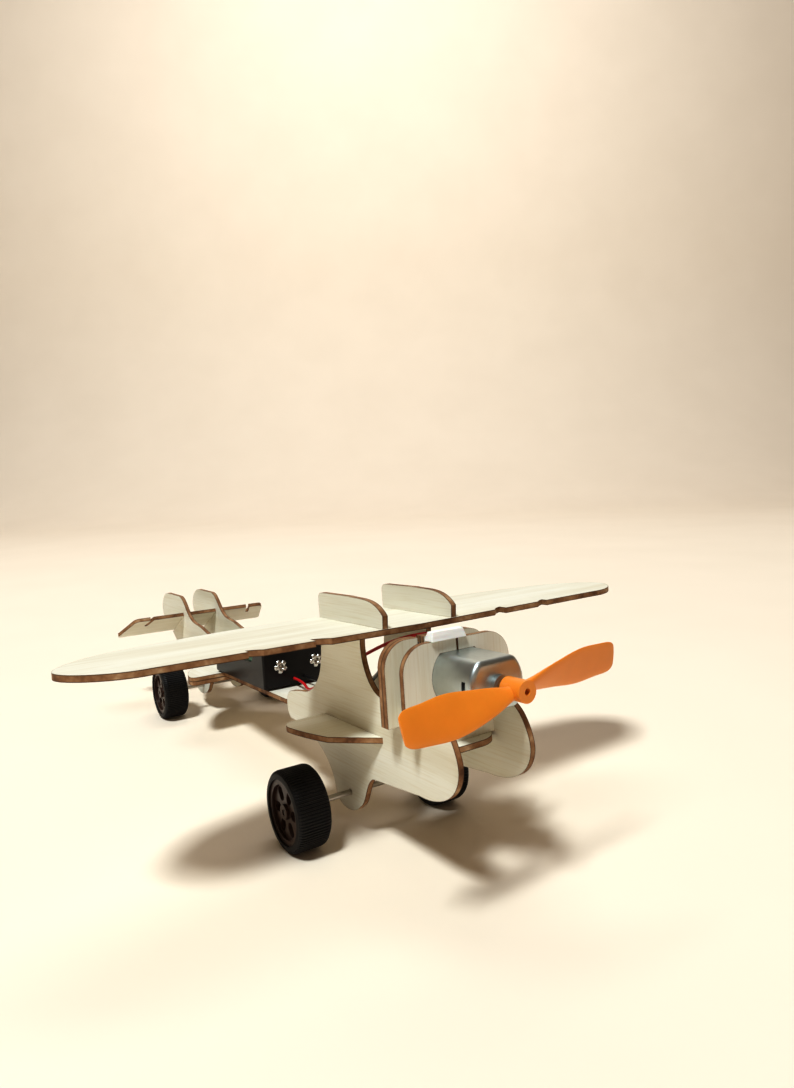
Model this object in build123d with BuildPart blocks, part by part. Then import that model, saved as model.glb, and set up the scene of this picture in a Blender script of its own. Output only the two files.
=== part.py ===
from build123d import *
from math import atan2, cos, degrees, pi, radians, sin, tan
import os

# Push-together plywood aeroplane kit: one shoulder wing, two small lower stub wings, a hobby motor
# with a two-blade propeller in the nose, an AA battery tray on the boom and four rubber-tyred wheels.
# The nose points to -Y, +Z is up and the ground is Z = 0.
#
# The airframe is laid out square to its own decks. Its local frame has its origin at the centre of
# the front axle, y towards the tail and z up. The rear legs are shorter than the front ones, so the
# airframe stands nose-up on four equal wheels, and PITCH follows from the two axle holes.

# ---- driving dimensions, millimetres and degrees ----
PLY = 2.0                     # thickness of every plywood sheet
FRONT_AXLE_Y = -81.57         # front axle in the finished part, so that the part is centred on Y = 0
REAR_AXLE = (167.9, 9.3)      # rear axle hole in the airframe's frame (y, z)
PITCH = degrees(atan2(REAR_AXLE[1], REAR_AXLE[0]))
AXLE_R = 1.0
AXLE_HOLE_R = 1.08            # free-running hole through the plywood
WHEEL_R = 13.8
TYRE_W = 12.2
RIM_R = 11.0
TRACK = 70.0                  # over the outer faces of a pair of tyres, the same front and rear
FRONT_SLIDE = -6.2            # the front axle has slid this far sideways in its holes

SIDE_IN = 12.7                # inner face of the side plates
SIDE_OUT = SIDE_IN + PLY
WING_TOP = 61.0
WING_BOTTOM = WING_TOP - PLY
HALF_SPAN = 107.9
WING_SLOT_Y = -1.0            # the wing slides on from the nose as far as this station

MOTOR_Z = 46.8
CAN_R = 10.15
CAN_FLAT = 7.7                # half height across the can's two flats
CAN_FRONT = -66.3
CAN_LENGTH = 20.5
CAN_WALL = 0.7
BELL_LENGTH = 4.5
SHAFT_R = 1.0
BUSH_BORE_R = 1.05

BUSH_R = 2.0
BOSS_R = 3.1
BOSS_LENGTH = 1.6
COMMUTATOR_R = 2.4
CAN_CLEARANCE = 0.05
MAGNET_IN_R = 6.5
ARMATURE_R = 6.0
BELL_CAVITY_R = 7.4
TERMINAL_X = 6.5              # the two solder tags, and the wire notches straight above them
TERMINAL_END = -38.6
TERMINAL_W = 2.4

BULKHEAD_HALF = 20.5
BULKHEAD_TOP = 58.4
BULKHEAD_FOOT = 32.0          # lower end of the two legs outside the side plates
LAP_Z = 35.0                  # where bulkhead slots and side plate slots meet
SHOULDER_Z = 38.0             # top edge of the side plate's cheek
FRONT_BULKHEAD_Y = -48.0      # front faces of the three bulkheads
MID_BULKHEAD_Y = -37.9
REAR_BULKHEAD_Y = MID_BULKHEAD_Y + PLY
BULKHEAD_CORNER_R = 8.5
TAB_W = 12.0                  # tab of each bulkhead through the nose deck
SLIT_W = 0.7                  # slit that lets the motor plate spring round the can
NOTCH_W = 2.4                 # wire notches in the top edge of the two plates behind it
NOTCH_DEPTH = 5.0

NOSE_DECK_TOP = 26.5
STUB_TOP = 25.1
DECK_TOP = 24.0
DECK_BOTTOM = DECK_TOP - PLY
DECK_FRONT = 17.0
DECK_END = 188.0
LEAF_FRONT = 121.0            # leaf-shaped widening of the boom deck
LEAF_BACK = 152.0
NOSE_DECK_FRONT = -52.4
NOSE_DECK_LENGTH = 30.4
LOBE_BACK_Y = 49.2            # the boom deck widens just behind the side plates' rear lobes
FIN_OUT = 10.5                # outer face of the tail fins
FIN_IN = FIN_OUT - PLY
FIN_SLOT_Y = 166.0

STAB_TE = (216.0, 35.4)       # trailing edge of the tailplane's middle plane (y, z)
STAB_TILT = 25.0
STAB_CHORD = 24.0

BOX_FRONT = 66.7
BOX_LENGTH = 60.0
BOX_HALF = 16.7
BOX_BOTTOM = 25.0
BOX_HEIGHT = 16.0
BOX_WALL = 1.6
CELL_R = 7.1
CELL_LENGTH = 49.3            # without the nipple
CELL_X = 7.9
CELL_Z = 33.8
RIVET_X = 8.5
PLATE_T = 0.5                 # battery contact plates
RIVET_HEAD = 0.4
SPRING_WIRE = 0.7
NIPPLE = 1.2
FLOOR_T = 1.5
DIP_LENGTH = 38.0             # dip in the long walls of the tray
DIP_DEPTH = 6.0
PLATE_W = 10.4
RIVET_R = 3.2
RIVET_OUT_T = 0.6
RIVET_SHANK_R = 1.2
SPRING_R = 3.2
SPRING_TURNS = 3

PROP_R = 39.2
PROP_FRONT = -78.1
PROP_ANGLE = 5.5              # the blades are parked this far from level
HUB_R = 3.2
HUB_LENGTH = 8.0
BLADE_SET = 3.8               # middle of the blades behind the hub's front face
WIRE_D = 1.2
WIRE_X = 2.6                  # wire holes low in the front wall of the battery box
WIRE_Z = 27.6
NOTCH_WIRE_Z = 56.8           # height at which the wires cross the bulkhead notches
AXLE_INSET = 1.0              # axle ends this far inside the tyre faces
RIM_W = 11.0
RIM_T = 1.8
WEB_T = 1.8
WEB_INSET = 1.0               # web behind the rim's outer face
WHEEL_HUB_R = 2.6
WINDOW_AT = 6.2               # six radial openings in the rim's web
WINDOW_L = 5.0
WINDOW_W = 3.4

os.makedirs("parts", exist_ok=True)

# ---- the airframe's frame and its three families of sheet planes ----
pitch = radians(PITCH)
airframe = Plane(origin=(0, FRONT_AXLE_Y, WHEEL_R), x_dir=(1, 0, 0), z_dir=(0, sin(pitch), cos(pitch)))


def place(x, y, z):
    """A point given in the airframe's frame, in the part's own coordinates."""
    return airframe.from_local_coords((x, y, z))


def side_plane(x):
    """Upright fore-and-aft plane. Sketch x runs to the tail, sketch y up and the normal to +X."""
    return Plane(place(x, 0, 0), x_dir=airframe.y_dir, z_dir=airframe.x_dir)


def cross_plane(y, z=0.0):
    """Upright plane across the airframe. Sketch x runs to +X, sketch y up, the normal to the nose."""
    return Plane(place(0, y, z), x_dir=airframe.x_dir, z_dir=airframe.y_dir * -1)


def level_plane(z):
    """Plane level with the decks. Sketch x runs to +X, sketch y to the tail and the normal up."""
    return Plane(place(0, 0, z), x_dir=airframe.x_dir, z_dir=airframe.z_dir)


def save(piece, name):
    """Label one finished piece and write its STEP file."""
    piece.part.label = name
    export_step(piece.part, f"parts/{name}.step")


# ---- side plates: cheek, wheel leg, strut and upper fin cut from one sheet ----
def make_side_plate(name, inner_x):
    with BuildPart() as side_plate:
        with BuildSketch(side_plane(inner_x)):
            with BuildLine():
                Polyline((-14.8, WING_BOTTOM), (WING_SLOT_Y, WING_BOTTOM), (WING_SLOT_Y, WING_TOP),
                         (-29.0, WING_TOP), (-29.4, 65.2))
                Spline((-29.4, 65.2), (-24.0, 68.6), (-16.0, 69.9), (-8.0, 70.2))
                Line((-8.0, 70.2), (11.4, 70.2))
                Spline((11.4, 70.2), (13.6, 69.4), (14.2, 67.2))
                Line((14.2, 67.2), (14.0, WING_BOTTOM))
                Spline((14.0, WING_BOTTOM), (15.0, 48.7), (18.2, 38.9), (26.5, 31.8), (34.0, 30.2))
                Line((34.0, 30.2), (43.5, 28.6))
                Spline((43.5, 28.6), (48.0, 25.6), (48.9, 21.6), (46.0, 17.0))
                Spline((46.0, 17.0), (30.0, 15.0), (19.6, 10.4), (13.2, 4.2), (10.4, -2.4))
                Spline((10.4, -2.4), (8.0, -5.6), (3.4, -6.8), (-2.2, -6.0), (-6.6, -3.4))
                Spline((-6.6, -3.4), (-10.0, 0.4), (-12.6, 5.4), (-16.4, 9.0))
                Line((-16.4, 9.0), (-44.0, 11.6))
                Spline((-44.0, 11.6), (-54.7, 13.2), (-61.6, 17.8), (-64.1, 24.0), (-62.6, 30.4),
                       (-58.6, 36.0), (-54.0, SHOULDER_Z))
                Line((-54.0, SHOULDER_Z), (-26.6, SHOULDER_Z))
                Spline((-26.6, SHOULDER_Z), (-20.6, 40.0), (-15.6, 46.2), (-14.8, WING_BOTTOM))
            make_face()
            Circle(AXLE_HOLE_R, mode=Mode.SUBTRACT)
            # slots for the bulkheads in the shoulder
            for front, count in ((FRONT_BULKHEAD_Y, 1), (MID_BULKHEAD_Y, 2)):
                with Locations((front, LAP_Z)):
                    Rectangle(count * PLY, 2 * (SHOULDER_Z - LAP_Z), align=(Align.MIN, Align.MIN),
                              mode=Mode.SUBTRACT)
            # two mortices for the stub wing
            with Locations((-11.0, STUB_TOP - PLY / 2), (7.0, STUB_TOP - PLY / 2)):
                Rectangle(6.0, PLY, mode=Mode.SUBTRACT)
        extrude(amount=PLY)
    save(side_plate, name)


make_side_plate("side_plate_right", -SIDE_OUT)
make_side_plate("side_plate_left", SIDE_IN)


# ---- main wing: one sheet with rounded tips, lightening notches in front, laps for the side plates ----
def wing_edge(sign):
    """One half of the wing's outline, from the middle of the nose edge round the tip to the tail edge."""
    Line((0, -30.0), (sign * 86.0, -26.0))
    Spline((sign * 86.0, -26.0), (sign * 99.0, -22.0), (sign * HALF_SPAN, -9.0), (sign * 100.0, 3.6),
           (sign * 84.0, 10.4))
    Spline((sign * 84.0, 10.4), (sign * 60.0, 14.8), (sign * 36.0, 16.5))
    Line((sign * 36.0, 16.5), (0, 16.5))


def wing_notch(sign, x):
    """Hooked notch in the nose edge: square on its outboard side, running out gently inboard."""
    Line((sign * x, -32.0), (sign * x, -24.6))
    Spline((sign * x, -24.6), (sign * (x - 2.2), -25.6), (sign * (x - 5.5), -28.6), (sign * (x - 7.0), -32.0))
    Line((sign * (x - 7.0), -32.0), (sign * x, -32.0))


with BuildPart() as wing:
    with BuildSketch(level_plane(WING_BOTTOM)):
        with BuildLine():
            wing_edge(1)
            wing_edge(-1)
        make_face()
        for sign in (1, -1):
            for x in (38.0, 59.0):
                with BuildLine():
                    wing_notch(sign, x)
                make_face(mode=Mode.SUBTRACT)
        with Locations((SIDE_IN + PLY / 2, WING_SLOT_Y), (-SIDE_IN - PLY / 2, WING_SLOT_Y)):
            Rectangle(PLY, 30.0, align=(Align.CENTER, Align.MIN), mode=Mode.SUBTRACT)
    extrude(amount=PLY)
save(wing, "main_wing")


# ---- lower stub wings, tenoned through the side plates ----
def make_stub_wing(name, sign):
    with BuildPart() as stub:
        with BuildSketch(level_plane(STUB_TOP - PLY)):
            with BuildLine():
                Polyline((sign * SIDE_OUT, -24.5), (sign * 27.4, -10.6))
                Spline((sign * 27.4, -10.6), (sign * 30.4, -1.0), (sign * 32.2, 8.0))
                Spline((sign * 32.2, 8.0), (sign * 31.6, 13.0), (sign * 27.6, 15.4),
                       tangents=((sign * 0.15, 1.0), (-sign * 1.0, 0.0)))
                Polyline((sign * 27.6, 15.4), (sign * SIDE_OUT, 15.4), (sign * SIDE_OUT, -24.5))
            make_face()
            with Locations((sign * (SIDE_IN + PLY / 2), -11.0), (sign * (SIDE_IN + PLY / 2), 7.0)):
                Rectangle(PLY, 6.0)
        extrude(amount=PLY)
    save(stub, name)


make_stub_wing("stub_wing_right", -1)
make_stub_wing("stub_wing_left", 1)


# ---- bulkheads: they straddle the side plates and stand on the nose deck ----
def motor_section(clearance):
    """The can's outline across its axis: a circle with a flat on top and another below."""
    Circle(CAN_R + clearance)
    Rectangle(3 * CAN_R, 2 * (CAN_FLAT + clearance), mode=Mode.INTERSECT)


def make_bulkhead(name, front_y, holds_motor):
    with BuildPart() as bulkhead:
        with BuildSketch(cross_plane(front_y + PLY)) as outline:
            with Locations((0, BULKHEAD_FOOT)):
                Rectangle(2 * BULKHEAD_HALF, BULKHEAD_TOP - BULKHEAD_FOOT, align=(Align.CENTER, Align.MIN))
            fillet(outline.vertices().group_by(Axis.Y)[-1], BULKHEAD_CORNER_R)
            # middle tongue down to the nose deck, and a narrower tab through it
            with Locations((0, NOSE_DECK_TOP)):
                Rectangle(2 * SIDE_IN, BULKHEAD_FOOT - NOSE_DECK_TOP, align=(Align.CENTER, Align.MIN))
            with Locations((0, NOSE_DECK_TOP - PLY)):
                Rectangle(TAB_W, 2 * PLY, align=(Align.CENTER, Align.MIN))
            # slots that straddle the two side plates
            with Locations((SIDE_IN + PLY / 2, 0), (-SIDE_IN - PLY / 2, 0)):
                Rectangle(PLY, LAP_Z, align=(Align.CENTER, Align.MIN), mode=Mode.SUBTRACT)
            if holds_motor:
                with Locations((0, MOTOR_Z)):
                    Rectangle(SLIT_W, BULKHEAD_TOP, align=(Align.CENTER, Align.MIN), mode=Mode.SUBTRACT)
            else:
                with Locations((TERMINAL_X, BULKHEAD_TOP), (-TERMINAL_X, BULKHEAD_TOP)):
                    Rectangle(NOTCH_W, 2 * NOTCH_DEPTH, mode=Mode.SUBTRACT)
        extrude(amount=PLY)
        if holds_motor:
            with BuildSketch(cross_plane(front_y + PLY, MOTOR_Z)):
                motor_section(CAN_CLEARANCE)
            extrude(amount=PLY, mode=Mode.SUBTRACT)
    save(bulkhead, name)


make_bulkhead("bulkhead_motor", FRONT_BULKHEAD_Y, True)
make_bulkhead("bulkhead_middle", MID_BULKHEAD_Y, False)
make_bulkhead("bulkhead_rear", REAR_BULKHEAD_Y, False)


# ---- nose deck: sits between the cheeks and takes the bulkhead tabs ----
with BuildPart() as nose_deck:
    with BuildSketch(level_plane(NOSE_DECK_TOP - PLY)) as outline:
        with Locations((0, NOSE_DECK_FRONT)):
            Rectangle(2 * SIDE_IN, NOSE_DECK_LENGTH, align=(Align.CENTER, Align.MIN))
        fillet(outline.vertices().group_by(Axis.Y)[0], 9.0)
        for front, count in ((FRONT_BULKHEAD_Y, 1), (MID_BULKHEAD_Y, 2)):
            with Locations((0, front)):
                Rectangle(TAB_W, count * PLY, align=(Align.CENTER, Align.MIN), mode=Mode.SUBTRACT)
    extrude(amount=PLY)
save(nose_deck, "nose_deck")


# ---- boom deck: tongue between the rear lobes, tray platform, leaf-shaped tail and fin slots ----
def leaf_half(sign):
    """Outline of one side of the leaf-shaped widening in front of the rear wheels."""
    Line((0, LEAF_FRONT), (sign * 28.0, LEAF_FRONT))
    Spline((sign * 28.0, LEAF_FRONT), (sign * 30.4, LEAF_FRONT + 1.4), (sign * 30.8, LEAF_FRONT + 4.6),
           tangents=((sign * 1.0, 0.0), (-sign * 0.1, 1.0)))
    Spline((sign * 30.8, LEAF_FRONT + 4.6), (sign * 27.0, 138.0), (sign * 20.0, 147.0),
           (sign * SIDE_IN, LEAF_BACK))
    Polyline((sign * SIDE_IN, LEAF_BACK), (0, LEAF_BACK), (0, LEAF_FRONT))


with BuildPart() as boom_deck:
    with BuildSketch(level_plane(DECK_BOTTOM)):
        with Locations((0, DECK_FRONT)):
            Rectangle(2 * SIDE_IN, DECK_END - DECK_FRONT, align=(Align.CENTER, Align.MIN))
        with Locations((0, LOBE_BACK_Y)):
            Rectangle(2 * SIDE_OUT, LEAF_FRONT + 1.0 - LOBE_BACK_Y, align=(Align.CENTER, Align.MIN))
        for sign in (1, -1):
            with BuildLine():
                leaf_half(sign)
            make_face()
        with Locations((FIN_IN + PLY / 2, FIN_SLOT_Y), (-FIN_IN - PLY / 2, FIN_SLOT_Y)):
            Rectangle(PLY, DECK_END, align=(Align.CENTER, Align.MIN), mode=Mode.SUBTRACT)
    extrude(amount=PLY)
save(boom_deck, "boom_deck")

with BuildPart() as tail_platform:
    with BuildSketch(level_plane(DECK_BOTTOM - PLY)):
        for sign in (1, -1):
            with BuildLine():
                leaf_half(sign)
            make_face()
    extrude(amount=PLY)
save(tail_platform, "tail_platform")


# ---- tail fins: fin above the deck and rear wheel leg below it, in one sheet ----
def stab_point(ahead):
    """Point (y, z) on the tailplane's middle plane, this far ahead of its trailing edge."""
    tilt = radians(STAB_TILT)
    return (STAB_TE[0] - ahead * cos(tilt), STAB_TE[1] + ahead * sin(tilt))


def make_tail_fin(name, inner_x):
    slot_y, slot_z = stab_point(STAB_CHORD / 2)
    with BuildPart() as fin:
        with BuildSketch(side_plane(inner_x)):
            with BuildLine():
                Line((137.0, DECK_TOP), (137.6, 30.0))
                Spline((137.6, 30.0), (143.0, 35.4), (155.8, 38.6), (168.0, 41.2), (180.0, 43.0),
                       (188.0, 47.6), (194.0, 53.0), (201.0, 55.6))
                Line((201.0, 55.6), (222.0, 56.0))
                Spline((222.0, 56.0), (231.0, 53.8), (236.0, 48.6), (235.4, 42.4))
                Spline((235.4, 42.4), (229.0, 38.0), (219.4, 33.4), (208.4, 27.0), (197.0, 22.6),
                       (187.4, 15.0), (181.4, 7.6))
                Spline((181.4, 7.6), (176.6, 4.6), (170.0, 4.0), (163.6, 5.6), (159.0, 9.4))
                Spline((159.0, 9.4), (154.6, 15.6), (152.6, DECK_BOTTOM))
                Polyline((152.6, DECK_BOTTOM), (FIN_SLOT_Y, DECK_BOTTOM), (FIN_SLOT_Y, DECK_TOP),
                         (137.0, DECK_TOP))
            make_face()
            with Locations(REAR_AXLE):
                Circle(AXLE_HOLE_R, mode=Mode.SUBTRACT)
            # slot for the rear half of the tailplane, open at the fin's rear edge
            with Locations(Location((slot_y, slot_z, 0), (0, 0, -STAB_TILT))):
                Rectangle(2 * STAB_CHORD, PLY, align=(Align.MIN, Align.CENTER), mode=Mode.SUBTRACT)
        extrude(amount=PLY)
    save(fin, name)


make_tail_fin("tail_fin_right", -FIN_OUT)
make_tail_fin("tail_fin_left", FIN_IN)


# ---- tailplane: tilted sheet with slanted tips and a hooked slit in each half's leading edge ----
stab_normal = airframe.z_dir * cos(radians(STAB_TILT)) + airframe.y_dir * sin(radians(STAB_TILT))
with BuildPart() as tailplane:
    with BuildSketch(Plane(place(0, *STAB_TE), x_dir=airframe.x_dir, z_dir=stab_normal)):
        for sign in (1, -1):
            with BuildLine():
                Line((0, 0), (sign * 41.4, 0))
                Spline((sign * 41.4, 0), (sign * 42.9, -1.6), (sign * 42.2, -4.6),
                       tangents=((sign * 1.0, 0.0), (-sign * 0.25, -1.0)))
                Line((sign * 42.2, -4.6), (sign * 38.1, -21.0))
                Spline((sign * 38.1, -21.0), (sign * 36.8, -23.2), (sign * 34.6, -STAB_CHORD),
                       tangents=((-sign * 0.25, -1.0), (-sign * 1.0, 0.0)))
                Polyline((sign * 34.6, -STAB_CHORD), (0, -STAB_CHORD), (0, 0))
            make_face()
        for sign in (1, -1):
            with Locations(Location((sign * 29.0, 3.0 - STAB_CHORD, 0), (0, 0, 90 - sign * 14))):
                SlotOverall(12.0, 1.8, mode=Mode.SUBTRACT)
        with Locations((FIN_IN + PLY / 2, -STAB_CHORD), (-FIN_IN - PLY / 2, -STAB_CHORD)):
            Rectangle(PLY, STAB_CHORD / 2, align=(Align.CENTER, Align.MIN), mode=Mode.SUBTRACT)
    extrude(amount=PLY / 2, both=True)
save(tailplane, "tailplane")


# ---- motor: flat-sided can with its magnets, armature, end bell, bush and terminals ----
can_back = CAN_FRONT + CAN_LENGTH
bell_back = can_back + BELL_LENGTH
with BuildPart() as can:
    with BuildSketch(cross_plane(can_back, MOTOR_Z)):
        motor_section(0)
    extrude(amount=CAN_LENGTH)
    fillet(can.edges().filter_by(Axis(place(0, 0, 0), airframe.y_dir)), 3.0)
    fillet(can.faces().sort_by(Axis(place(0, 0, 0), airframe.y_dir))[0].edges(), 1.6)
    with BuildSketch(cross_plane(can_back, MOTOR_Z)):
        motor_section(-CAN_WALL - 0.6)
    extrude(amount=CAN_LENGTH - CAN_WALL, mode=Mode.SUBTRACT)
    # boss that carries the front bush
    with BuildSketch(cross_plane(CAN_FRONT, MOTOR_Z)):
        Circle(BOSS_R)
    extrude(amount=BOSS_LENGTH)
    with BuildSketch(cross_plane(CAN_FRONT + CAN_WALL, MOTOR_Z)):
        Circle(BUSH_R)
    extrude(amount=CAN_WALL + BOSS_LENGTH, mode=Mode.SUBTRACT)
    # one small window in each side, near the nose
    with BuildSketch(side_plane(0)):
        with Locations((CAN_FRONT + 3.6, MOTOR_Z + 0.6)):
            Rectangle(1.6, 2.8)
    extrude(amount=2 * CAN_R, both=True, mode=Mode.SUBTRACT)
save(can, "motor_can")

with BuildPart() as bush:
    with BuildSketch(cross_plane(CAN_FRONT + CAN_WALL, MOTOR_Z)):
        Circle(BUSH_R)
        Circle(BUSH_BORE_R, mode=Mode.SUBTRACT)
    extrude(amount=CAN_WALL + BOSS_LENGTH)
save(bush, "motor_bush")

with BuildPart() as magnets:
    with BuildSketch(cross_plane(CAN_FRONT + 16.5, MOTOR_Z)):
        Circle(CAN_R - CAN_WALL - 0.6)
        Circle(MAGNET_IN_R, mode=Mode.SUBTRACT)
        Rectangle(3 * CAN_R, 9.6, mode=Mode.INTERSECT)
    extrude(amount=12.0)
save(magnets, "motor_magnets")

with BuildPart() as armature:
    with BuildSketch(cross_plane(CAN_FRONT + 14.5, MOTOR_Z)):
        # three pole shoes, cut from one ring, on three stems
        Circle(ARMATURE_R)
        Circle(ARMATURE_R - 1.1, mode=Mode.SUBTRACT)
        with PolarLocations(ARMATURE_R, 3, start_angle=60):
            Rectangle(4.0, 3.0, mode=Mode.SUBTRACT)
        with PolarLocations(3.6, 3):
            Rectangle(4.0, 1.8)
        Circle(3.0)
        Circle(SHAFT_R, mode=Mode.SUBTRACT)
    extrude(amount=9.0)
save(armature, "motor_armature")

with BuildPart() as commutator:
    with BuildSketch(cross_plane(can_back + 1.0, MOTOR_Z)):
        Circle(COMMUTATOR_R)
        Circle(SHAFT_R, mode=Mode.SUBTRACT)
    extrude(amount=4.0)
save(commutator, "motor_commutator")

with BuildPart() as shaft:
    with BuildSketch(cross_plane(bell_back - 0.8, MOTOR_Z)):
        Circle(SHAFT_R)
    extrude(amount=bell_back - 0.8 - (PROP_FRONT + 2.0))
save(shaft, "motor_shaft")

with BuildPart() as bell:
    with BuildSketch(cross_plane(bell_back, MOTOR_Z)):
        motor_section(-0.5)
    extrude(amount=BELL_LENGTH)
    with BuildSketch(cross_plane(bell_back - 2.0, MOTOR_Z)):
        Circle(BELL_CAVITY_R)
        Rectangle(3 * CAN_R, 2 * CAN_FLAT - 3.0, mode=Mode.INTERSECT)
    extrude(amount=BELL_LENGTH, mode=Mode.SUBTRACT)
    # shaft bore, and a slot for each of the two solder tags
    with BuildSketch(cross_plane(bell_back, MOTOR_Z)):
        Circle(BUSH_BORE_R)
        with Locations((TERMINAL_X, 0), (-TERMINAL_X, 0)):
            Rectangle(PLATE_T, TERMINAL_W)
    extrude(amount=BELL_LENGTH, mode=Mode.SUBTRACT)
save(bell, "motor_end_bell")

# solder tags, each carrying its brush arm in to the commutator
with BuildPart() as terminals:
    with BuildSketch(cross_plane(TERMINAL_END, MOTOR_Z)):
        with Locations((TERMINAL_X, 0), (-TERMINAL_X, 0)):
            Rectangle(PLATE_T, TERMINAL_W)
    extrude(amount=TERMINAL_END - (can_back + 0.4))
    arm_out = TERMINAL_X + PLATE_T / 2
    arm_in = COMMUTATOR_R + 0.3
    with BuildSketch(cross_plane(can_back + 0.9, MOTOR_Z)):
        with Locations(((arm_out + arm_in) / 2, 0), (-(arm_out + arm_in) / 2, 0)):
            Rectangle(arm_out - arm_in, 1.6)
    extrude(amount=0.5)
save(terminals, "motor_terminals")


# ---- propeller: hub and two twisted blades lofted along the span ----
# each section: distance from the hub's axis, chord, thickness, twist, height of mid-chord
BLADE_SECTIONS = ((1.6, 4.2, 3.4, 38.0, 0.2), (6.0, 5.8, 2.4, 34.0, 0.3), (12.0, 8.6, 1.8, 28.0, 0.4),
                  (19.0, 11.0, 1.6, 23.0, 0.3), (27.0, 11.8, 1.4, 18.0, 0.0), (34.0, 10.6, 1.2, 15.0, -0.4),
                  (PROP_R - 1.2, 9.2, 1.0, 13.0, -0.7), (PROP_R, 7.0, 0.8, 12.0, -0.7))
with BuildPart() as blade:
    for radius, chord, thickness, twist, rise in BLADE_SECTIONS:
        section_plane = Plane(place(radius, PROP_FRONT + BLADE_SET, MOTOR_Z), x_dir=airframe.z_dir,
                              z_dir=airframe.x_dir)
        with BuildSketch(section_plane):
            with Locations(Location((rise, 0, 0), (0, 0, twist))):
                Ellipse(chord / 2, thickness / 2)
    loft()

prop_axis = Axis(place(0, 0, MOTOR_Z), airframe.y_dir)
right_blade = blade.part.rotate(prop_axis, -PROP_ANGLE)
left_blade = right_blade.rotate(prop_axis, 180)
with BuildPart() as propeller:
    with BuildSketch(cross_plane(PROP_FRONT + HUB_LENGTH, MOTOR_Z)):
        Circle(HUB_R)
    extrude(amount=HUB_LENGTH)
    add(right_blade)
    add(left_blade)
    with BuildSketch(cross_plane(PROP_FRONT + HUB_LENGTH, MOTOR_Z)):
        Circle(SHAFT_R)
    extrude(amount=HUB_LENGTH, mode=Mode.SUBTRACT)
save(propeller, "propeller")


# ---- battery tray with its cells, springs, contact plates and rivets ----
box_back = BOX_FRONT + BOX_LENGTH
inner_front = BOX_FRONT + BOX_WALL
inner_back = box_back - BOX_WALL
box_middle = BOX_FRONT + BOX_LENGTH / 2
box_top = BOX_BOTTOM + BOX_HEIGHT
floor_top = BOX_BOTTOM + FLOOR_T
with BuildPart() as box:
    with BuildSketch(level_plane(BOX_BOTTOM)):
        with Locations((0, box_middle)):
            RectangleRounded(2 * BOX_HALF, BOX_LENGTH, 1.0)
    extrude(amount=BOX_HEIGHT)
    with BuildSketch(level_plane(floor_top)):
        with Locations((0, box_middle)):
            Rectangle(2 * (BOX_HALF - BOX_WALL), BOX_LENGTH - 2 * BOX_WALL)
    extrude(amount=BOX_HEIGHT, mode=Mode.SUBTRACT)
    # low ridge between the two cells
    with BuildSketch(level_plane(floor_top)):
        with Locations((0, box_middle)):
            Rectangle(1.0, BOX_LENGTH - 2 * BOX_WALL)
    extrude(amount=4.0)
    # both long walls dip between the corners so that the cells can be lifted out
    with BuildSketch(side_plane(0)) as dip:
        with Locations((box_middle, box_top)):
            Rectangle(DIP_LENGTH, 2 * DIP_DEPTH)
        fillet(dip.vertices().group_by(Axis.Y)[0], 4.0)
    extrude(amount=2 * BOX_HALF, both=True, mode=Mode.SUBTRACT)
    # rivet holes in both end walls, wire holes in the front one
    with BuildSketch(cross_plane(box_back)):
        with Locations((RIVET_X, CELL_Z), (-RIVET_X, CELL_Z)):
            Circle(RIVET_SHANK_R)
    extrude(amount=BOX_LENGTH, mode=Mode.SUBTRACT)
    with BuildSketch(cross_plane(inner_front)):
        with Locations((WIRE_X, WIRE_Z), (-WIRE_X, WIRE_Z)):
            Circle(WIRE_D / 2 + 0.1)
    extrude(amount=BOX_WALL, mode=Mode.SUBTRACT)
save(box, "battery_box")

with BuildPart() as contacts:
    with BuildSketch(cross_plane(inner_front + PLATE_T)):
        with Locations((CELL_X, CELL_Z), (-CELL_X, CELL_Z)):
            Rectangle(PLATE_W, PLATE_W)
        with Locations((RIVET_X, CELL_Z), (-RIVET_X, CELL_Z)):
            Circle(RIVET_SHANK_R, mode=Mode.SUBTRACT)
    extrude(amount=PLATE_T)
    # the rear plate joins both cells in series
    with BuildSketch(cross_plane(inner_back)):
        with Locations((0, CELL_Z + 1.0)):
            Rectangle(2 * CELL_X + PLATE_W, PLATE_W - 2.0)
        with Locations((RIVET_X, CELL_Z), (-RIVET_X, CELL_Z)):
            Circle(RIVET_SHANK_R, mode=Mode.SUBTRACT)
    extrude(amount=PLATE_T)
save(contacts, "battery_contacts")

# rivets: broad head outside the wall, shank through wall and plate, small head inside
grip = BOX_WALL + PLATE_T
with BuildPart() as rivets:
    for outer_face, direction in ((BOX_FRONT, 1), (box_back, -1)):
        for x in (RIVET_X, -RIVET_X):
            for start, length, radius in ((-RIVET_OUT_T, RIVET_OUT_T, RIVET_R), (0, grip, RIVET_SHANK_R),
                                          (grip, RIVET_HEAD, RIVET_SHANK_R + 0.5)):
                far_end = max(outer_face + direction * start, outer_face + direction * (start + length))
                with BuildSketch(cross_plane(far_end)):
                    with Locations((x, CELL_Z)):
                        Circle(radius)
                extrude(amount=length)
save(rivets, "battery_rivets")


def make_cell(name, x, front_face, nipple_ahead):
    """AA cell whose body starts at front_face, with its nipple towards the nose or the tail."""
    with BuildPart() as cell:
        with BuildSketch(cross_plane(front_face + CELL_LENGTH)):
            with Locations((x, CELL_Z)):
                Circle(CELL_R)
        extrude(amount=CELL_LENGTH)
        chamfer(cell.edges().filter_by(GeomType.CIRCLE), 0.5)
        nipple_end = front_face if nipple_ahead else front_face + CELL_LENGTH + NIPPLE
        with BuildSketch(cross_plane(nipple_end)):
            with Locations((x, CELL_Z)):
                Circle(2.7)
        extrude(amount=NIPPLE)
    save(cell, name)


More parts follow.
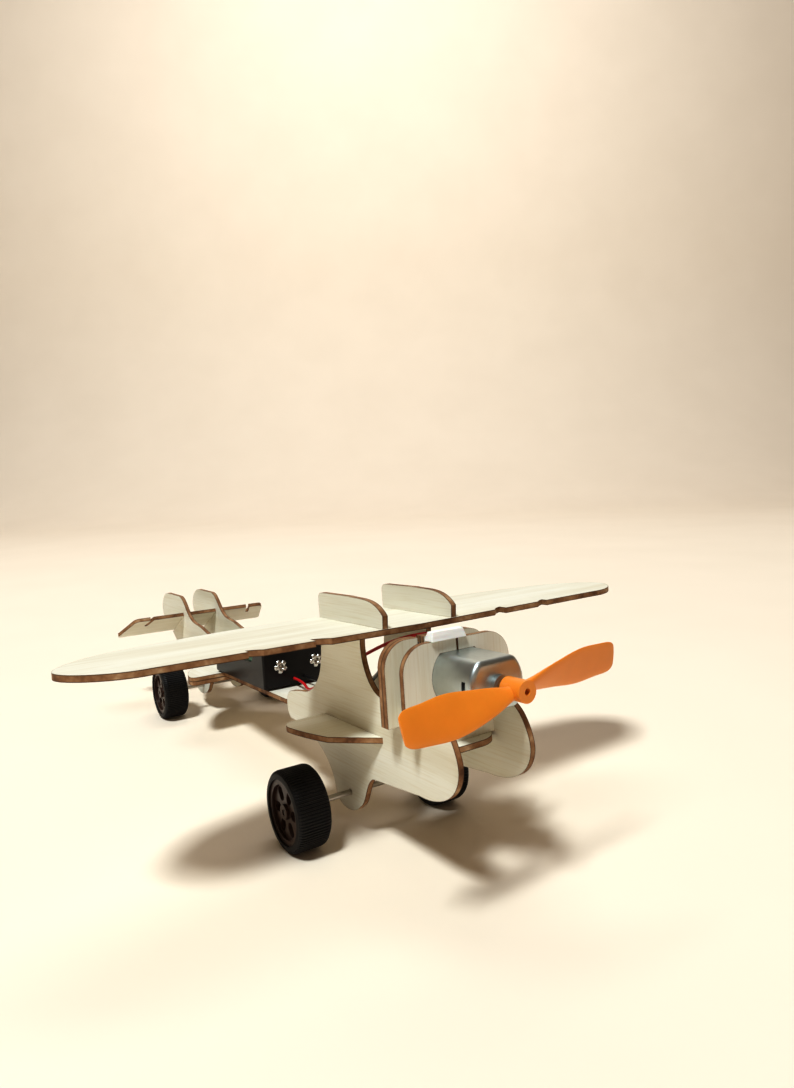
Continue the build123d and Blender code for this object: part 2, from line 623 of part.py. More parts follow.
head_front = inner_front + PLATE_T + RIVET_HEAD
head_back = inner_back - PLATE_T - RIVET_HEAD
left_cell_front = head_front + NIPPLE
right_cell_front = head_back - NIPPLE - CELL_LENGTH
make_cell("battery_cell_left", CELL_X, left_cell_front, True)
make_cell("battery_cell_right", -CELL_X, right_cell_front, False)

# one coil spring behind the flat end of each cell
spring_space = inner_back - PLATE_T - (left_cell_front + CELL_LENGTH)
coil_length = spring_space - SPRING_WIRE - 0.2
with BuildPart() as springs:
    for x, foot in ((CELL_X, left_cell_front + CELL_LENGTH), (-CELL_X, inner_front + PLATE_T)):
        with BuildLine():
            coil = Helix(pitch=coil_length / SPRING_TURNS, height=coil_length, radius=SPRING_R,
                         center=place(x, foot + SPRING_WIRE / 2 + 0.1, CELL_Z), direction=airframe.y_dir)
        with BuildSketch(Plane(coil @ 0, z_dir=coil % 0)):
            Circle(SPRING_WIRE / 2)
        sweep(path=coil)
save(springs, "battery_springs")

with BuildPart() as box_tape:
    with BuildSketch(level_plane(DECK_TOP)):
        with Locations((0, box_middle)):
            Rectangle(20.0, 48.0)
    extrude(amount=BOX_BOTTOM - DECK_TOP)
save(box_tape, "battery_foam_pad")

# folded foam tape stuck on the motor plate's top edge, over the slit
with BuildPart() as nose_tape:
    with BuildSketch(level_plane(BULKHEAD_TOP)):
        with Locations((-3.5, FRONT_BULKHEAD_Y + PLY / 2)):
            Rectangle(13.5, 4.6)
    extrude(amount=3.2, taper=16)
save(nose_tape, "nose_foam_pad")


# ---- wires from the battery contacts to the motor's solder tags ----
tag_y = TERMINAL_END - 1.0
tag_top = MOTOR_Z + TERMINAL_W / 2
RED_ROUTE = ((-WIRE_X, inner_front, WIRE_Z), (-WIRE_X, 58, WIRE_Z), (-7, 44.5, 26.8), (-9.8, 31, 31.3),
             (-7.5, 18, 38.5), (-2, 6, 46), (1.5, -10, 53), (TERMINAL_X, -25.5, NOTCH_WIRE_Z),
             (TERMINAL_X, tag_y, NOTCH_WIRE_Z), (TERMINAL_X, tag_y, tag_top))
BLACK_ROUTE = ((WIRE_X, inner_front, WIRE_Z), (WIRE_X, 58, WIRE_Z), (5, 45, 26.5), (6, 31, 27.5),
               (5, 18, 31.5), (2, 5, 37), (-3.5, -9, 45), (-TERMINAL_X, -25.5, NOTCH_WIRE_Z),
               (-TERMINAL_X, tag_y, NOTCH_WIRE_Z), (-TERMINAL_X, tag_y, tag_top))


def make_wire(name, spots):
    points = [place(*spot) for spot in spots]
    runs = [after - before for before, after in zip(points, points[1:])]
    radii = []
    for run, following in zip(runs, runs[1:]):
        half_turn = radians(run.get_angle(following)) / 2
        radii.append(0.45 * min(run.length, following.length) / tan(half_turn))
    with BuildPart() as wire:
        with BuildLine() as route_line:
            FilletPolyline(*points, radius=radii)
        route = route_line.wires()[0]
        with BuildSketch(Plane(points[0], z_dir=runs[0])):
            Circle(WIRE_D / 2)
        sweep(path=route)
    print(name, "bend radii", [round(radius, 2) for radius in radii], "length", round(route.length, 2),
          "volume", round(wire.part.volume, 3), "section x length",
          round(pi * WIRE_D ** 2 / 4 * route.length, 3))
    save(wire, name)


make_wire("red_wire", RED_ROUTE)
make_wire("black_wire", BLACK_ROUTE)


# ---- axles, rims and tyres ----
def axle_plane(x, y, z):
    """Plane square to an axle at this sideways station, its normal to +X."""
    return Plane(place(x, y, z), x_dir=airframe.y_dir, z_dir=airframe.x_dir)


def make_axle(name, centre, slide):
    half = TRACK / 2 - AXLE_INSET
    with BuildPart() as axle:
        with BuildSketch(axle_plane(slide - half, *centre)):
            Circle(AXLE_R)
        extrude(amount=2 * half)
    save(axle, name)


def make_wheel(name, centre, slide, sign):
    middle = slide + sign * (TRACK - TYRE_W) / 2
    rim_start = middle - RIM_W / 2
    web_middle = middle + sign * ((RIM_W - WEB_T) / 2 - WEB_INSET)
    with BuildPart() as rim:
        with BuildSketch(axle_plane(rim_start, *centre)):
            Circle(RIM_R)
            Circle(RIM_R - RIM_T, mode=Mode.SUBTRACT)
        extrude(amount=RIM_W)
        # web set back from the outer face, with six openings, and a hub right through
        with BuildSketch(axle_plane(web_middle - WEB_T / 2, *centre)):
            Circle(RIM_R)
            with PolarLocations(WINDOW_AT, 6):
                SlotOverall(WINDOW_L, WINDOW_W, mode=Mode.SUBTRACT)
        extrude(amount=WEB_T)
        with BuildSketch(axle_plane(rim_start, *centre)):
            Circle(WHEEL_HUB_R)
        extrude(amount=RIM_W)
        with BuildSketch(axle_plane(rim_start, *centre)):
            Circle(AXLE_R)
        extrude(amount=RIM_W, mode=Mode.SUBTRACT)
    save(rim, name + "_rim")
    with BuildPart() as tyre:
        with BuildSketch(axle_plane(middle - TYRE_W / 2, *centre)):
            Circle(WHEEL_R)
        extrude(amount=TYRE_W)
        fillet(tyre.edges().filter_by(GeomType.CIRCLE), 1.6)
        with BuildSketch(axle_plane(middle - TYRE_W / 2, *centre)):
            Circle(RIM_R)
        extrude(amount=TYRE_W, mode=Mode.SUBTRACT)
    save(tyre, name + "_tyre")


for end, centre, slide in (("front", (0, 0), FRONT_SLIDE), ("rear", REAR_AXLE, 0)):
    make_axle(end + "_axle", centre, slide)
    make_wheel(end + "_wheel_right", centre, slide, -1)
    make_wheel(end + "_wheel_left", centre, slide, 1)
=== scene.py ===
import math

import bmesh
import bpy
from mathutils import Matrix, Vector


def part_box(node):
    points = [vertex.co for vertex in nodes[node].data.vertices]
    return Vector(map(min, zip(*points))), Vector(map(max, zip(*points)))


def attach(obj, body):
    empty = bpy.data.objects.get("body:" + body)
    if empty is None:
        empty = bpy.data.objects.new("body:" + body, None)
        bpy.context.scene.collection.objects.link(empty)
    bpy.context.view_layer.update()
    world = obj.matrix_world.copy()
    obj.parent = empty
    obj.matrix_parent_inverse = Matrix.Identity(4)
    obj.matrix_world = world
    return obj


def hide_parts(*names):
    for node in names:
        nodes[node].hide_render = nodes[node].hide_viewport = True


# Push-together plywood aeroplane: camera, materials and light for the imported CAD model, and mesh pieces
# for its leads, tyres, rivets and foam tape.
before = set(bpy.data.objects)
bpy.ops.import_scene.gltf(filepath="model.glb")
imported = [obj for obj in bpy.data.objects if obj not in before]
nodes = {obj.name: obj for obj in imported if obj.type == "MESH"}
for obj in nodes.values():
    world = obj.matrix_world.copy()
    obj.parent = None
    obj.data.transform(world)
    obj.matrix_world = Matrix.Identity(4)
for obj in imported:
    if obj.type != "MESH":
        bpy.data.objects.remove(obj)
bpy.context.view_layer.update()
scene = bpy.context.scene

# ---- the airframe's own frame: origin on the front axle, x sideways, y to the tail, z up ----
AXLE_Y = -0.08157
AXLE_Z = 0.0138
PITCH = math.atan2(9.3, 167.9)
AFT = Vector((0, math.cos(PITCH), -math.sin(PITCH)))
UP = Vector((0, math.sin(PITCH), math.cos(PITCH)))
SIDE = Vector((1, 0, 0))
PLACE = Matrix(((1, 0, 0, 0), (0, AFT.y, UP.y, AXLE_Y), (0, AFT.z, UP.z, AXLE_Z), (0, 0, 0, 1)))


def place(x, y, z):
    """Turns a point of the airframe's frame, in millimetres, into one of the shared frame, in metres."""
    return PLACE @ (Vector((x, y, z)) * 0.001)


# ---- camera ----
camera_data = bpy.data.cameras.new("camera")
camera_data.lens = 24.25
camera_data.sensor_width = 36
camera_data.clip_start = 0.01
camera_data.clip_end = 20
camera = bpy.data.objects.new("camera", camera_data)
scene.collection.objects.link(camera)
scene.camera = camera
yaw, tilt, roll = (math.radians(a) for a in (33.34, -5.66, -2.07))
forward = Vector((math.sin(yaw) * math.cos(tilt), math.cos(yaw) * math.cos(tilt), math.sin(tilt)))
level_right = Vector((math.cos(yaw), -math.sin(yaw), 0))
level_up = level_right.cross(forward)
right = math.cos(roll) * level_right + math.sin(roll) * level_up
above = math.cos(roll) * level_up - math.sin(roll) * level_right
turn = Matrix((right, above, -forward)).transposed().to_4x4()
camera.matrix_world = Matrix.Translation((-0.13547, -0.21922 + AXLE_Y, 0.12596)) @ turn
heading = Vector((math.sin(yaw), math.cos(yaw), 0))


# ---- helpers for materials ----
def new_material(name):
    material = bpy.data.materials.new(name)
    material.use_nodes = True
    tree = material.node_tree
    return material, tree, tree.nodes["Principled BSDF"]


def add_node(tree, kind, **values):
    node = tree.nodes.new("ShaderNode" + kind)
    for key, value in values.items():
        setattr(node, key, value)
    return node


def math_node(tree, operation, a, b=None, clamp=False):
    node = add_node(tree, "Math", operation=operation, use_clamp=clamp)
    for socket, value in ((0, a), (1, b)):
        if value is None:
            continue
        if isinstance(value, (int, float)):
            node.inputs[socket].default_value = value
        else:
            tree.links.new(value, node.inputs[socket])
    return node.outputs[0]


def scaled(tree, value, factor, clamp=False):
    return math_node(tree, "MULTIPLY", value, factor, clamp=clamp)


def noise(tree, vector, scale, detail=3.0, roughness=0.55):
    node = add_node(tree, "TexNoise")
    node.inputs["Scale"].default_value = scale
    node.inputs["Detail"].default_value = detail
    node.inputs["Roughness"].default_value = roughness
    tree.links.new(vector, node.inputs["Vector"])
    return node.outputs["Fac"]


def ramp(tree, value, stops):
    """Colour ramp: stops are (position, (r, g, b))."""
    node = add_node(tree, "ValToRGB")
    elements = node.color_ramp.elements
    while len(elements) < len(stops):
        elements.new(0.5)
    for element, (position, colour) in zip(elements, stops):
        element.position = position
        element.color = (*colour, 1)
    tree.links.new(value, node.inputs[0])
    return node.outputs["Color"]


# the sockets that a mix node uses when it mixes colours
MIX_FACTOR, MIX_A, MIX_B, MIX_RESULT = 0, 6, 7, 2


def mix(tree, factor, a, b, blend="MIX"):
    node = add_node(tree, "Mix", data_type="RGBA", blend_type=blend)
    for socket, value in ((MIX_FACTOR, factor), (MIX_A, a), (MIX_B, b)):
        if isinstance(value, tuple):
            node.inputs[socket].default_value = (*value, 1)
        elif isinstance(value, (int, float)):
            node.inputs[socket].default_value = value
        else:
            tree.links.new(value, node.inputs[socket])
    return node.outputs[MIX_RESULT]


def bump(tree, shader, height, strength, distance):
    node = add_node(tree, "Bump")
    node.inputs["Strength"].default_value = strength
    node.inputs["Distance"].default_value = distance
    tree.links.new(height, node.inputs["Height"])
    tree.links.new(node.outputs[0], shader.inputs["Normal"])


def along(tree, vector, direction):
    """How far a point or normal reaches along a direction."""
    node = add_node(tree, "VectorMath", operation="DOT_PRODUCT")
    node.inputs[1].default_value = direction
    tree.links.new(vector, node.inputs[0])
    return node.outputs["Value"]


def combine(tree, x, y, z):
    node = add_node(tree, "CombineXYZ")
    for socket, value in enumerate((x, y, z)):
        if isinstance(value, (int, float)):
            node.inputs[socket].default_value = value
        else:
            tree.links.new(value, node.inputs[socket])
    return node.outputs[0]


# ---- plywood: pale grained faces, burnt laser-cut edges ----
PLY_THICKNESS = 0.002
PLY_DARK = (0.70, 0.66, 0.54)
PLY_MID = (0.78, 0.76, 0.66)
PLY_LIGHT = (0.82, 0.81, 0.73)
SCORCH_WIDTH = 0.0005         # how far the smoke stain reaches in from a cut edge
# waves per metre along the grain and across it
FIBRE_WAVES = (45, 1500)
BAND_WAVES = (9, 95)
BLOTCH_WAVES = (24, 45)


def grain_noise(tree, u, v, waves, seed, detail, roughness):
    """Noise drawn out along the grain, from the places along it and across it."""
    spot = combine(tree, scaled(tree, u, waves[0]), scaled(tree, v, waves[1]), seed)
    return noise(tree, spot, 1.0, detail, roughness)


def ply_face(tree, u, v, fibre, seed):
    band = grain_noise(tree, u, v, BAND_WAVES, seed + 7.0, 3.0, 0.5)
    blotch = grain_noise(tree, u, v, BLOTCH_WAVES, seed + 3.0, 2.0, 0.5)
    face = ramp(tree, band, ((0.3, PLY_DARK), (0.52, PLY_MID), (0.75, PLY_LIGHT)))
    streak = ramp(tree, fibre, ((0.3, (0.84, 0.77, 0.65)), (0.52, (1, 1, 1))))
    face = mix(tree, 0.5, face, streak, "MULTIPLY")
    return mix(tree, scaled(tree, blotch, 0.2), face, (0.72, 0.62, 0.45))


def ply_edge(tree, position, normal, low):
    """The cut edge: sooty at both skins, with dark and clean patches along its core."""
    patch = noise(tree, position, 150, 3.0, 0.65)
    fine = noise(tree, position, 1400, 2.0, 0.6)
    edge = ramp(tree, patch, ((0.3, (0.13, 0.055, 0.022)), (0.46, (0.29, 0.145, 0.065)),
                              (0.6, (0.42, 0.24, 0.12)), (0.74, (0.62, 0.44, 0.27))))
    edge = mix(tree, scaled(tree, fine, 0.35), edge, (0.1, 0.05, 0.025))
    from_middle = math_node(tree, "SUBTRACT", along(tree, position, normal), low + PLY_THICKNESS / 2)
    millimetres = math_node(tree, "ABSOLUTE", scaled(tree, from_middle, 1000))
    wobble = math_node(tree, "ADD", millimetres, scaled(tree, patch, 0.3))
    soot = scaled(tree, math_node(tree, "SUBTRACT", wobble, 0.82, clamp=True), 3.2, clamp=True)
    return mix(tree, soot, edge, (0.035, 0.016, 0.008))


def plywood(name, normal, grain, low, seed):
    """low is how far along its normal the sheet's lower skin lies."""
    material, tree, shader = new_material(name)
    coordinates = add_node(tree, "TexCoord")
    position, facing = coordinates.outputs["Object"], coordinates.outputs["Normal"]
    u = along(tree, position, grain)
    v = along(tree, position, normal.cross(grain))
    fibre = grain_noise(tree, u, v, FIBRE_WAVES, seed, 4.0, 0.6)
    is_face = math_node(tree, "GREATER_THAN", math_node(tree, "ABSOLUTE", along(tree, facing, normal)), 0.6)
    # smoke stain on the faces: the bevel's normal leans over close to an edge
    bevel = add_node(tree, "Bevel", samples=6)
    bevel.inputs["Radius"].default_value = SCORCH_WIDTH
    lean = math_node(tree, "ABSOLUTE", along(tree, bevel.outputs[0], normal))
    stain = scaled(tree, math_node(tree, "SUBTRACT", 1.0, lean, clamp=True), 2.2, clamp=True)
    face = mix(tree, stain, ply_face(tree, u, v, fibre, seed), (0.2, 0.1, 0.045))
    colour = mix(tree, is_face, ply_edge(tree, position, normal, low), face)
    tree.links.new(colour, shader.inputs["Base Color"])
    rough = math_node(tree, "ADD", 0.55, scaled(tree, fibre, 0.2))
    tree.links.new(rough, shader.inputs["Roughness"])
    shader.inputs["Specular IOR Level"].default_value = 0.3
    bump(tree, shader, fibre, 0.25, 0.00012)
    return material


def cover(name, material):
    """Puts one material on every slot of a CAD node."""
    slots = nodes[name].data.materials
    if len(slots) == 0:
        slots.append(material)
    for slot in nodes[name].material_slots:
        slot.link = "OBJECT"
        slot.material = material


# the tailplane is tilted by this much about its span
STAB = math.radians(25)
STAB_UP = UP * math.cos(STAB) + AFT * math.sin(STAB)
# each sheet's normal and the run of its grain
SHEETS = {
    "main_wing": (UP, SIDE), "stub_wing_right": (UP, SIDE), "stub_wing_left": (UP, SIDE),
    "side_plate_right": (SIDE, AFT), "side_plate_left": (SIDE, AFT),
    "tail_fin_right": (SIDE, AFT), "tail_fin_left": (SIDE, AFT),
    "bulkhead_motor": (AFT, UP), "bulkhead_middle": (AFT, UP), "bulkhead_rear": (AFT, UP),
    "nose_deck": (UP, AFT), "boom_deck": (UP, AFT), "tail_platform": (UP, SIDE),
    "tailplane": (STAB_UP, SIDE),
}
for number, (name, (normal, grain)) in enumerate(SHEETS.items()):
    low = min(vertex.co.dot(normal) for vertex in nodes[name].data.vertices)
    cover(name, plywood("ply_" + name, normal, grain, low, 1.7 * number))


# ---- plain moulded, metal and rubber surfaces ----
def moulded(name, colour, roughness, speckle=0.08, coat=0.0, subsurface=0.0, specular=0.5):
    """Moulded plastic: faint mottling in colour and gloss, and a very fine grain."""
    material, tree, shader = new_material(name)
    position = add_node(tree, "TexCoord").outputs["Object"]
    mottle = noise(tree, position, 90, 3.0, 0.6)
    darker = tuple(c * (1 - speckle) for c in colour)
    lighter = tuple(min(1, c * (1 + speckle)) for c in colour)
    tree.links.new(ramp(tree, mottle, ((0.3, darker), (0.7, lighter))), shader.inputs["Base Color"])
    gloss = math_node(tree, "ADD", roughness - 0.06, scaled(tree, mottle, 0.12))
    tree.links.new(gloss, shader.inputs["Roughness"])
    shader.inputs["Coat Weight"].default_value = coat
    shader.inputs["Coat Roughness"].default_value = 0.15
    shader.inputs["Specular IOR Level"].default_value = specular
    shader.inputs["Subsurface Weight"].default_value = subsurface
    shader.inputs["Subsurface Scale"].default_value = 0.002
    bump(tree, shader, noise(tree, position, 2500, 2.0), 0.12, 0.00004)
    return material


def metal(name, colour, roughness, direction=None, brushing=0.3):
    """Metal with fine scratches drawn along one direction, or an even satin when there is none."""
    material, tree, shader = new_material(name)
    position = add_node(tree, "TexCoord").outputs["Object"]
    if direction is None:
        scratch = noise(tree, position, 900, 3.0, 0.6)
    else:
        side = direction.orthogonal().normalized()
        third = direction.cross(side)
        spot = combine(tree, scaled(tree, along(tree, position, direction), 60),
                       scaled(tree, along(tree, position, side), 2600),
                       scaled(tree, along(tree, position, third), 2600))
        scratch = noise(tree, spot, 1.0, 3.0, 0.6)
    cloud = noise(tree, position, 120, 3.0, 0.6)
    dull = tuple(c * 0.82 for c in colour)
    tree.links.new(ramp(tree, cloud, ((0.3, dull), (0.7, colour))), shader.inputs["Base Color"])
    shader.inputs["Metallic"].default_value = 1.0
    gloss = math_node(tree, "ADD", roughness - 0.07, scaled(tree, scratch, 0.14))
    tree.links.new(gloss, shader.inputs["Roughness"])
    bump(tree, shader, scratch, brushing, 0.00002)
    return material


orange = moulded("orange_plastic", (0.82, 0.28, 0.03), 0.36, 0.04, 0.12, 0.1)
black_plastic = moulded("black_plastic", (0.012, 0.010, 0.009), 0.3, 0.2, specular=0.22)
rim_plastic = moulded("rim_plastic", (0.05, 0.026, 0.018), 0.3, 0.15, specular=0.3)
bell_plastic = moulded("bell_plastic", (0.75, 0.73, 0.68), 0.45)
can_steel = metal("can_steel", (0.62, 0.68, 0.68), 0.38, AFT, 0.15)
plated = metal("plated_steel", (0.68, 0.66, 0.62), 0.25)
axle_steel = metal("axle_steel", (0.52, 0.48, 0.43), 0.3, SIDE)
bronze = metal("bronze", (0.62, 0.45, 0.24), 0.4)
copper = metal("copper", (0.72, 0.38, 0.22), 0.3)
lamination = metal("lamination", (0.28, 0.26, 0.24), 0.5)
magnet = moulded("magnet", (0.035, 0.033, 0.032), 0.6, 0.3)
red_pvc = moulded("red_pvc", (0.62, 0.02, 0.025), 0.34, 0.06, 0.2)
black_pvc = moulded("black_pvc", (0.012, 0.011, 0.011), 0.34, 0.06, 0.2)
rubber = moulded("rubber", (0.011, 0.009, 0.008), 0.55, 0.3, specular=0.3)
foam = moulded("foam", (0.86, 0.86, 0.84), 0.9, 0.04, 0.0, 0.2)

FINISHES = {
    "battery_box": black_plastic, "battery_contacts": plated, "battery_rivets": plated,
    "battery_springs": plated, "motor_can": can_steel, "motor_bush": bronze, "motor_magnets": magnet,
    "motor_armature": lamination, "motor_commutator": copper, "motor_shaft": axle_steel,
    "motor_end_bell": bell_plastic, "motor_terminals": copper, "propeller": orange,
    "front_axle": axle_steel, "rear_axle": axle_steel, "battery_foam_pad": foam, "nose_foam_pad": foam,
    "red_wire": red_pvc, "black_wire": black_pvc,
}
for name, material in FINISHES.items():
    cover(name, material)
for name in nodes:
    if name.endswith("_rim"):
        cover(name, rim_plastic)
    if name.endswith("_tyre"):
        cover(name, rubber)


# ---- AA cells: two-colour film, bare steel at both ends ----
BAND_FROM = 11.0              # millimetres from the middle of the cell
FILM_END = 24.1


def cell_jacket(name, middle, sign):
    """sign says which end of the cell has the light band."""
    material, tree, shader = new_material(name)
    position = add_node(tree, "TexCoord").outputs["Object"]
    from_middle = math_node(tree, "SUBTRACT", along(tree, position, AFT), middle.dot(AFT))
    station = scaled(tree, from_middle, sign * 1000)
    grime = noise(tree, position, 140, 3.0)
    body = ramp(tree, grime, ((0.3, (0.03, 0.10, 0.06)), (0.7, (0.045, 0.14, 0.08))))
    band = ramp(tree, grime, ((0.3, (0.62, 0.42, 0.16)), (0.7, (0.72, 0.5, 0.2))))
    in_band = math_node(tree, "GREATER_THAN", station, BAND_FROM)
    bare = math_node(tree, "GREATER_THAN", math_node(tree, "ABSOLUTE", station), FILM_END)
    colour = mix(tree, bare, mix(tree, in_band, body, band), (0.65, 0.64, 0.61))
    tree.links.new(colour, shader.inputs["Base Color"])
    tree.links.new(bare, shader.inputs["Metallic"])
    shader.inputs["Roughness"].default_value = 0.28
    shader.inputs["Coat Weight"].default_value = 0.3
    bump(tree, shader, noise(tree, position, 400, 2.0), 0.1, 0.0001)
    return material


for name, sign in (("battery_cell_left", -1), ("battery_cell_right", 1)):
    low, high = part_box(name)
    middle = (Vector(low) + Vector(high)) / 2
    cover(name, cell_jacket("jacket_" + name, middle, sign))


# ---- the two leads, from the battery box to the motor terminals ----
LEAD_DIAMETER = 0.0012
RED_ROUTE = ((-2.6, 68.3, 27.6), (-2.6, 58, 27.6), (-7, 44.5, 26.8), (-9.8, 31, 31.3), (-7.5, 18, 38.5),
             (-2, 6, 46), (1.5, -10, 53), (6.5, -25.5, 56.8), (6.5, -39.6, 56.8), (6.5, -39.6, 48))
BLACK_ROUTE = ((2.6, 68.3, 27.6), (2.6, 58, 27.6), (5, 45, 26.5), (6, 31, 27.5), (5, 18, 31.5), (2, 5, 37),
               (-3.5, -9, 45), (-6.5, -25.5, 56.8), (-6.5, -39.6, 56.8), (-6.5, -39.6, 48))
for node, route, length, material in (("red_wire", RED_ROUTE, 0.1243, red_pvc),
                                      ("black_wire", BLACK_ROUTE, 0.1238, black_pvc)):
    curve = bpy.data.curves.new(node + "_line", "CURVE")
    curve.dimensions = "3D"
    curve.bevel_depth = LEAD_DIAMETER / 2
    curve.bevel_resolution = 5
    curve.resolution_u = 16
    curve.use_fill_caps = True
    spline = curve.splines.new("NURBS")
    spline.points.add(len(route) - 1)
    for point, spot in zip(spline.points, route):
        point.co = (*place(*spot), 1)
    spline.order_u = 3
    spline.use_endpoint_u = True
    lead = bpy.data.objects.new(node + "_lead", curve)
    scene.collection.objects.link(lead)
    curve.materials.append(material)
    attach(lead, "airframe")
    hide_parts(node)


def finish_mesh(name, mesh_data, material, body, slot, *replaced):
    """Turns a bmesh into a piece that rides on a body and stands for CAD nodes."""
    mesh = bpy.data.meshes.new(name)
    bmesh.ops.recalc_face_normals(mesh_data, faces=mesh_data.faces)
    mesh_data.to_mesh(mesh)
    mesh_data.free()
    piece = bpy.data.objects.new(name, mesh)
    scene.collection.objects.link(piece)
    mesh.materials.append(material)
    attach(piece, body)
    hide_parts(*replaced)
    return piece


# ---- tyres: turned profile with fine cross grooves round the tread ----
GROOVES = 80
GROOVE_DEPTH = 0.0003
RIB_RISE = 0.00008
TREAD_FROM = 0.0134           # the profile is tread outside this radius


def make_tyre(name, body, centre):
    """Four steps of the turned profile make a pitch, two low and two high; centre is the tyre's middle."""
    half = ((0.0061, 0.0110), (0.0061, 0.0116), (0.0059, 0.0127), (0.0052, 0.01345), (0.0043, 0.0137),
            (0.0014, 0.0137))
    profile = [(-x, radius) for x, radius in half] + [(x, radius) for x, radius in reversed(half)]
    data = bmesh.new()
    rings = []
    for step in range(GROOVES * 4):
        low = step % 4 in (0, 1)
        angle = 2 * math.pi * (step + (0.25 if step % 2 else -0.25)) / (GROOVES * 4)
        ring = []
        for x, radius in profile:
            r = radius
            if radius > TREAD_FROM:
                r = radius - GROOVE_DEPTH if low else radius + RIB_RISE
            ring.append(data.verts.new((centre[0] + x, centre[1] + r * math.cos(angle),
                                        centre[2] + r * math.sin(angle))))
        rings.append(ring)
    for step, ring in enumerate(rings):
        following = rings[(step + 1) % len(rings)]
        for i in range(len(ring) - 1):
            data.faces.new((ring[i], ring[i + 1], following[i + 1], following[i]))
        data.faces.new((ring[-1], ring[0], following[0], following[-1]))
    finish_mesh(name + "_tread", data, rubber, body, "tyre", name)


for name in [n for n in nodes if n.endswith("_tyre")]:
    low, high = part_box(name)
    centre = [(a + b) / 2 for a, b in zip(low, high)]
    make_tyre(name, "front_wheels" if name.startswith("front") else "rear_wheels", centre)


# ---- eyelet rivets: domed petals curled back round a deep bore ----
RIVET_RADIUS = 0.0031
RIVET_X = 8.5                 # millimetres in the airframe's frame, as are the next two
RIVET_Z = 33.8
RIVET_FACES = ((66.68, -AFT), (126.72, AFT))
PETALS = 5
# share of the radius, and height in millimetres, from the bottom of the bore to the petals' tips
EYELET_BANDS = ((0.30, -1.2), (0.33, 0.25), (0.42, 0.62), (0.58, 0.78), (0.78, 0.62), (0.95, 0.28),
                (1.0, 0.04))
PETAL_FROM = 0.4              # share of the radius where the clefts between petals begin


def eyelet(data, centre, outward):
    """One flared eyelet: a ring whose rim is split into petals, standing out along outward."""
    side = outward.orthogonal().normalized()
    third = outward.cross(side)
    steps = PETALS * 10
    rings = []
    for reach, height in EYELET_BANDS:
        ring = []
        for i in range(steps):
            angle = 2 * math.pi * i / steps
            cleft = abs(math.cos(angle * PETALS / 2)) ** 8
            outer = max(0.0, (reach - PETAL_FROM) / (1 - PETAL_FROM))
            r = RIVET_RADIUS * reach * (1 - 0.38 * cleft * outer)
            lift = height * 0.001 * (1 - 0.75 * cleft * outer)
            ring.append(data.verts.new(centre + (side * math.cos(angle) + third * math.sin(angle)) * r
                                       + outward * lift))
        rings.append(ring)
    for inner, outer_ring in zip(rings, rings[1:]):
        for i in range(steps):
            k = (i + 1) % steps
            data.faces.new((inner[i], inner[k], outer_ring[k], outer_ring[i]))
    data.faces.new(rings[0])


def make_rivets():
    data = bmesh.new()
    for y, outward in RIVET_FACES:
        for x in (-RIVET_X, RIVET_X):
            eyelet(data, place(x, y, RIVET_Z), outward)
    piece = finish_mesh("rivet_eyelets", data, plated, "airframe", "plated_steel", "battery_rivets")
    for face in piece.data.polygons:
        face.use_smooth = True


make_rivets()


# ---- foam tape: a lump on the motor plate and a pad under the battery box ----
FOAM_ROUNDING = 0.00035
FOAM_CUT_OVER = 0.002         # edges longer than this are cut up
BLOCK_FACES = ((0, 1, 3, 2), (4, 6, 7, 5), (0, 4, 5, 1), (2, 3, 7, 6), (0, 2, 6, 4), (1, 5, 7, 3))


def block(centre, levels):
    """Eight corners from a centre (x, y) and two levels (z, half width, half length), in millimetres."""
    return [(centre[0] + x * half_width, centre[1] + y * half_length, z)
            for z, half_width, half_length in levels for y in (-1, 1) for x in (-1, 1)]


def make_foam(name, node, corners, cuts, ripple):
    """Block from its eight corners, rounded off, cut up and made slightly uneven."""
    data = bmesh.new()
    verts = [data.verts.new(place(*corner)) for corner in corners]
    for loop in BLOCK_FACES:
        data.faces.new([verts[i] for i in loop])
    bmesh.ops.recalc_face_normals(data, faces=data.faces)
    bmesh.ops.bevel(data, geom=data.edges[:], offset=FOAM_ROUNDING, segments=3, profile=0.6, affect="EDGES")
    long_edges = [edge for edge in data.edges if edge.calc_length() > FOAM_CUT_OVER]
    bmesh.ops.subdivide_edges(data, edges=long_edges, cuts=cuts, use_grid_fill=True)
    for vert in data.verts:
        wave = math.sin(vert.co.x * 2900 + 1.3) * math.sin(vert.co.y * 2300 + vert.co.z * 3100)
        vert.co -= vert.normal * ripple * (0.5 + 0.5 * wave)
    piece = finish_mesh(name, data, foam, "airframe", "foam_tape", node)
    for face in piece.data.polygons:
        face.use_smooth = True


make_foam("nose_foam", "nose_foam_pad",
          block((-3.5, -47.0), ((58.4, 6.7, 2.2), (61.4, 5.9, 1.4))), 5, 0.00012)
make_foam("box_foam", "battery_foam_pad",
          block((0, 96.7), ((24.02, 9.9, 23.9), (24.98, 9.9, 23.9))), 6, 0.00004)


# ---- floor, backdrop and light ----
FLOOR_NEAR = -3.0
FLOOR_FAR = 1.6               # the floor starts to curve up into the backdrop here
SWEEP_R = 0.9
SWEEP_STEPS = 12
BACKDROP_TOP = 4.5
FLOOR_HALF_WIDTH = 4.0


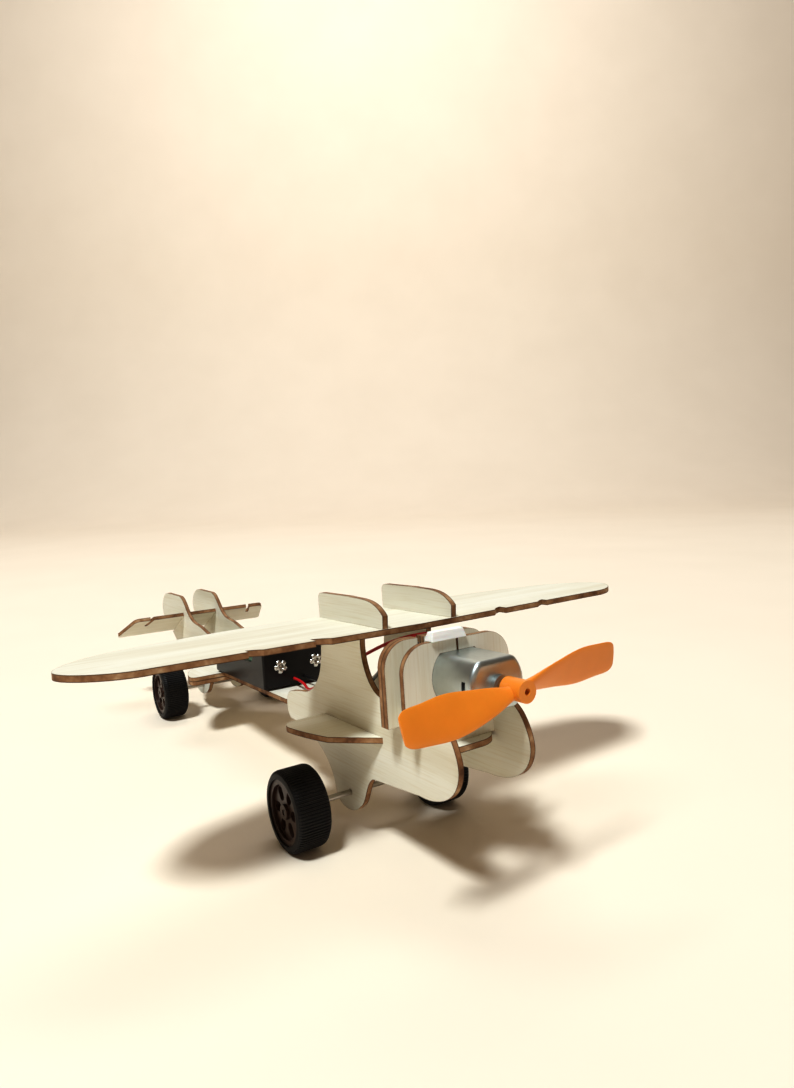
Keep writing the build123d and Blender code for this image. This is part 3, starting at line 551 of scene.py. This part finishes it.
def make_floor():
    data = bmesh.new()
    sweep = [(FLOOR_NEAR, 0.0), (FLOOR_FAR, 0.0)]
    for i in range(1, SWEEP_STEPS + 1):
        angle = math.radians(90 * i / SWEEP_STEPS)
        sweep.append((FLOOR_FAR + SWEEP_R * math.sin(angle), SWEEP_R * (1 - math.cos(angle))))
    sweep.append((FLOOR_FAR + SWEEP_R, BACKDROP_TOP))
    rows = []
    for reach, height in sweep:
        rows.append([data.verts.new(heading * reach + level_right * side + Vector((0, 0, height)))
                     for side in (-FLOOR_HALF_WIDTH, FLOOR_HALF_WIDTH)])
    for a, b in zip(rows, rows[1:]):
        data.faces.new((a[0], a[1], b[1], b[0]))
    mesh = bpy.data.meshes.new("floor")
    data.to_mesh(mesh)
    data.free()
    for face in mesh.polygons:
        face.use_smooth = True
    floor = bpy.data.objects.new("floor", mesh)
    scene.collection.objects.link(floor)
    material, tree, shader = new_material("floor_paper")
    position = add_node(tree, "TexCoord").outputs["Object"]
    cloud = noise(tree, position, 6, 2.0)
    tone = ramp(tree, cloud, ((0.3, (0.88, 0.79, 0.67)), (0.7, (0.90, 0.81, 0.69))))
    tree.links.new(tone, shader.inputs["Base Color"])
    shader.inputs["Roughness"].default_value = 0.9
    shader.inputs["Specular IOR Level"].default_value = 0.1
    mesh.materials.append(material)


make_floor()
# plain colours, with shadows deepened because the pale floor throws light up into them
scene.view_settings.view_transform = "Standard"
scene.view_settings.gamma = 0.75


def area_light(name, source, target, size, power, colour):
    """Square soft box at source, turned to face target."""
    data = bpy.data.lights.new(name, "AREA")
    data.size = size
    data.energy = power
    data.color = colour
    lamp = bpy.data.objects.new(name, data)
    scene.collection.objects.link(lamp)
    facing = (target - source).to_track_quat("-Z", "Y").to_matrix().to_4x4()
    lamp.matrix_world = Matrix.Translation(source) @ facing


CENTRE = Vector((0, 0, 0.04))
area_light("key", Vector((-1.07, -0.65, 2.30)), CENTRE, 0.42, 68, (0.90, 0.97, 1.0))
area_light("fill", Vector((-0.54, -1.60, 0.40)), CENTRE, 1.2, 1.2, (1.0, 0.84, 0.66))
area_light("backdrop", heading * 0.9 + Vector((0, 0, 2.3)), heading * 2.4 + Vector((0, 0, 0.9)), 1.4, 30,
           (0.97, 0.98, 1.0))
world = bpy.data.worlds.new("studio")
scene.world = world
world.use_nodes = True
world.node_tree.nodes["Background"].inputs[0].default_value = (1.0, 0.74, 0.52, 1)
world.node_tree.nodes["Background"].inputs[1].default_value = 0.16
